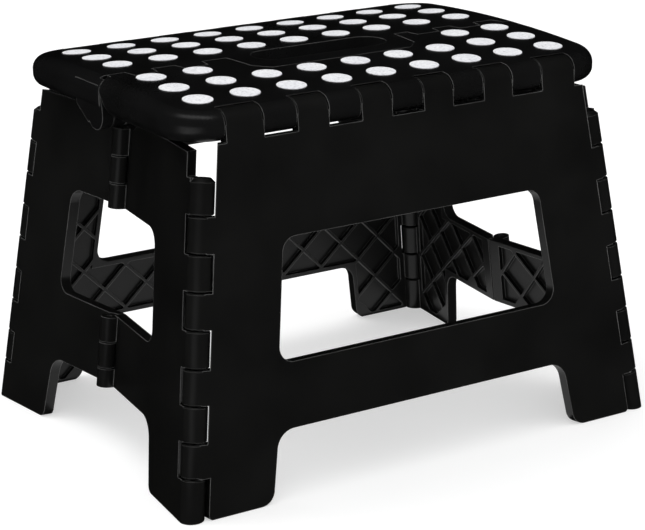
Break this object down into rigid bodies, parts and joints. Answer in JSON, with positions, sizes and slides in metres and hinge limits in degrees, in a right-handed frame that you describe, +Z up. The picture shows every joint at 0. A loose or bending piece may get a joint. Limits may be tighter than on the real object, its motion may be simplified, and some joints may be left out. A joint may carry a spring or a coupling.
{
  "type": "folding step stool",
  "caption": "Low folding step stool in moulded plastic, with a dotted grip seat, a handle slot, and leg and end panels that fold flat together.",
  "frame": {"origin": "on the floor, under the middle of the open stool", "axes": "+X along the seat's long side, +Y to the back half of the seat, which carries the handle, +Z up"},
  "size_m": [0.3308, 0.2546, 0.2312],
  "materials": {
    "seat_plastic": "semi-gloss moulded",
    "panel_plastic": "semi-gloss moulded",
    "grip_dots": "matte, finely speckled",
    "steel_rod": "drawn wire"
  },
  "bodies": {
    "leg_front_frame": {"leg_front": "panel_plastic", "seat_rod_front": "steel_rod", "corner_rod_left_front": "steel_rod", "corner_rod_right_front": "steel_rod"},
    "seat_front": {"seat_front_half": "seat_plastic", "grip_dots_front": "grip_dots"},
    "seat_back": {"seat_back_half": "seat_plastic", "grip_dots_back": "grip_dots", "seam_pin_left": "steel_rod", "seam_pin_right": "steel_rod"},
    "leg_back_frame": {"leg_back": "panel_plastic", "seat_rod_back": "steel_rod", "corner_rod_left_back": "steel_rod", "corner_rod_right_back": "steel_rod"},
    "end_left_front": {"end_left_front": "panel_plastic", "end_pins_left_upper": "steel_rod", "end_pins_left_lower": "steel_rod"},
    "end_left_back": {"end_left_back": "panel_plastic"},
    "end_right_front": {"end_right_front": "panel_plastic", "end_pins_right_upper": "steel_rod", "end_pins_right_lower": "steel_rod"},
    "end_right_back": {"end_right_back": "panel_plastic"}
  },
  "joints": [
    {"name": "seat_front_hinge", "type": "hinge", "parent": "leg_front_frame", "child": "seat_front", "pos_m": [0, -0.095, 0.218], "axis": [1, 0, 0], "range_deg": [0, 83.89]},
    {"name": "seat_centre_hinge", "type": "hinge", "parent": "seat_front", "child": "seat_back", "pos_m": [0, 0, 0.209], "axis": [-1, 0, 0], "range_deg": [0, 180]},
    {"name": "seat_back_hinge", "type": "hinge", "parent": "seat_back", "child": "leg_back_frame", "pos_m": [0, 0.095, 0.218], "axis": [1, 0, 0], "range_deg": [0, 83.89]},
    {"name": "end_left_front_hinge", "type": "hinge", "parent": "leg_front_frame", "child": "end_left_front", "pos_m": [-0.1581, -0.12001, 0], "axis": [-0.1276, -0.1055, -0.9862], "range_deg": [0, 84]},
    {"name": "end_left_back_hinge", "type": "hinge", "parent": "leg_back_frame", "child": "end_left_back", "pos_m": [-0.1581, 0.12001, 0], "axis": [0.1276, -0.1055, 0.9862], "range_deg": [0, 84]},
    {"name": "end_right_front_hinge", "type": "hinge", "parent": "leg_front_frame", "child": "end_right_front", "pos_m": [0.1581, -0.12001, 0], "axis": [-0.1276, 0.1055, 0.9862], "range_deg": [0, 84]},
    {"name": "end_right_back_hinge", "type": "hinge", "parent": "leg_back_frame", "child": "end_right_back", "pos_m": [0.1581, 0.12001, 0], "axis": [0.1276, 0.1055, -0.9862], "range_deg": [0, 84]}
  ],
  "couplings": [
    {"joint": "seat_front_hinge", "follows": "seat_centre_hinge", "ratio": 0.46606},
    {"joint": "seat_back_hinge", "follows": "seat_centre_hinge", "ratio": 0.46606},
    {"joint": "end_left_front_hinge", "follows": "seat_centre_hinge", "ratio": 0.46667},
    {"joint": "end_left_back_hinge", "follows": "seat_centre_hinge", "ratio": 0.46667},
    {"joint": "end_right_front_hinge", "follows": "seat_centre_hinge", "ratio": 0.46667},
    {"joint": "end_right_back_hinge", "follows": "seat_centre_hinge", "ratio": 0.46667}
  ]
}
